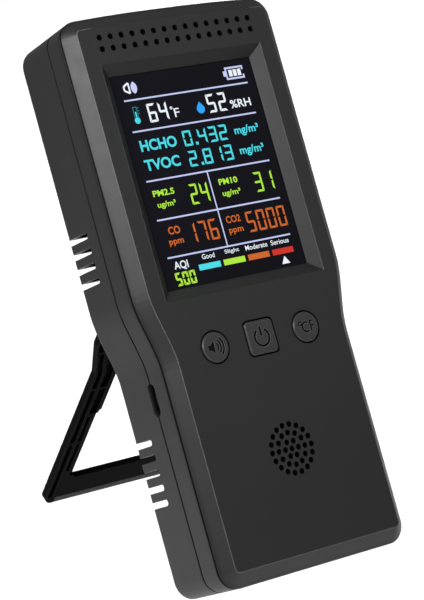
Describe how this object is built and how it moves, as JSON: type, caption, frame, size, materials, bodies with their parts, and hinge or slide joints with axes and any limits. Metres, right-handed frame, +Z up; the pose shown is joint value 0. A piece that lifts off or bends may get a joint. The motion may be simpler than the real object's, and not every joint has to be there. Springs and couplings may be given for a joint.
{
  "type": "handheld air quality monitor",
  "caption": "Handheld battery air quality monitor with a colour screen, push buttons, speaker and vent grilles, leaning on a fold-out stand at its back.",
  "frame": {"origin": "middle of the heel line, where the lower back edge of the case touches the table", "axes": "+Z up, -Y towards the user, who looks along +Y at the leaning screen; +X to the user's right"},
  "size_m": [0.0798, 0.1113, 0.1697],
  "materials": {
    "case_plastic": "fine-grained charcoal ABS",
    "stand_plastic": "fine-grained black ABS",
    "button_plastic": "fine-grained charcoal ABS with printed symbols",
    "mesh_cloth": "black dust cloth",
    "steel_mesh": "woven wire",
    "black_tape": "double-sided foam tape",
    "screen_glass": "dark tinted cover lens",
    "lcd_glass": "lit colour display",
    "white_plastic": "moulded",
    "flex_film": "amber film",
    "plated_steel": "nickel plated",
    "board_green": "solder mask",
    "chip_black": "moulded epoxy",
    "battery_foil": "laminated pouch",
    "black_foam": "open-cell foam",
    "red_wire": "insulated wire",
    "speaker_black": "painted frame and film cone",
    "sensor_black": "moulded housing",
    "fan_black": "moulded rotor",
    "brass_can": "turned can",
    "gold_can": "plated optical bench",
    "white_filter": "porous membrane",
    "black_screw": "blackened steel",
    "pad_rubber": "non-slip strip"
  },
  "bodies": {
    "case": {"front_shell": "case_plastic", "rear_shell": "case_plastic", "grille_mesh": "mesh_cloth", "speaker_mesh": "mesh_cloth", "outlet_mesh": "steel_mesh", "lens_tape": "black_tape", "screen_lens": "screen_glass", "lcd_panel": "lcd_glass", "lcd_tray": "white_plastic", "lcd_ribbon": "flex_film", "tact_switches": "plated_steel", "main_board": "board_green", "board_parts": "chip_black", "usb_socket": "plated_steel", "battery": "battery_foil", "battery_foam": "black_foam", "battery_lead": "red_wire", "speaker": "speaker_black", "sensor_board": "board_green", "board_link": "white_plastic", "pm_case": "sensor_black", "pm_cover": "plated_steel", "pm_fan_shaft": "plated_steel", "pm_laser": "brass_can", "co2_cell": "gold_can", "co2_filter": "white_filter", "co_cell": "white_plastic", "hcho_cell": "sensor_black", "tvoc_can": "plated_steel", "humidity_chip": "white_plastic", "board_screws": "plated_steel", "case_screws": "black_screw", "hinge_pins": "plated_steel"},
    "stand": {"kickstand": "stand_plastic", "stand_pad": "pad_rubber"},
    "sound_key": {"button_sound": "button_plastic"},
    "power_key": {"button_power": "button_plastic"},
    "unit_key": {"button_unit": "button_plastic"},
    "fan": {"pm_fan_rotor": "fan_black"}
  },
  "joints": [
    {"name": "stand_hinge", "type": "hinge", "parent": "case", "child": "stand", "pos_m": [0, 0.04374, 0.07884], "axis": [1, 0, 0], "range_deg": [-57.7, 0]},
    {"name": "sound_press", "type": "slide", "parent": "case", "child": "sound_key", "axis": [0, 0.8715, -0.4903], "range_m": [0, 0.0006], "stiffness_N_per_m": 600, "springref_m": -0.0005},
    {"name": "power_press", "type": "slide", "parent": "case", "child": "power_key", "axis": [0, 0.8715, -0.4903], "range_m": [0, 0.0006], "stiffness_N_per_m": 600, "springref_m": -0.0005},
    {"name": "unit_press", "type": "slide", "parent": "case", "child": "unit_key", "axis": [0, 0.8715, -0.4903], "range_m": [0, 0.0006], "stiffness_N_per_m": 600, "springref_m": -0.0005},
    {"name": "fan_spin", "type": "hinge", "parent": "case", "child": "fan", "pos_m": [-0.0115, 0.04844, 0.10728], "axis": [0, 0.8715, -0.4903], "continuous": true}
  ]
}
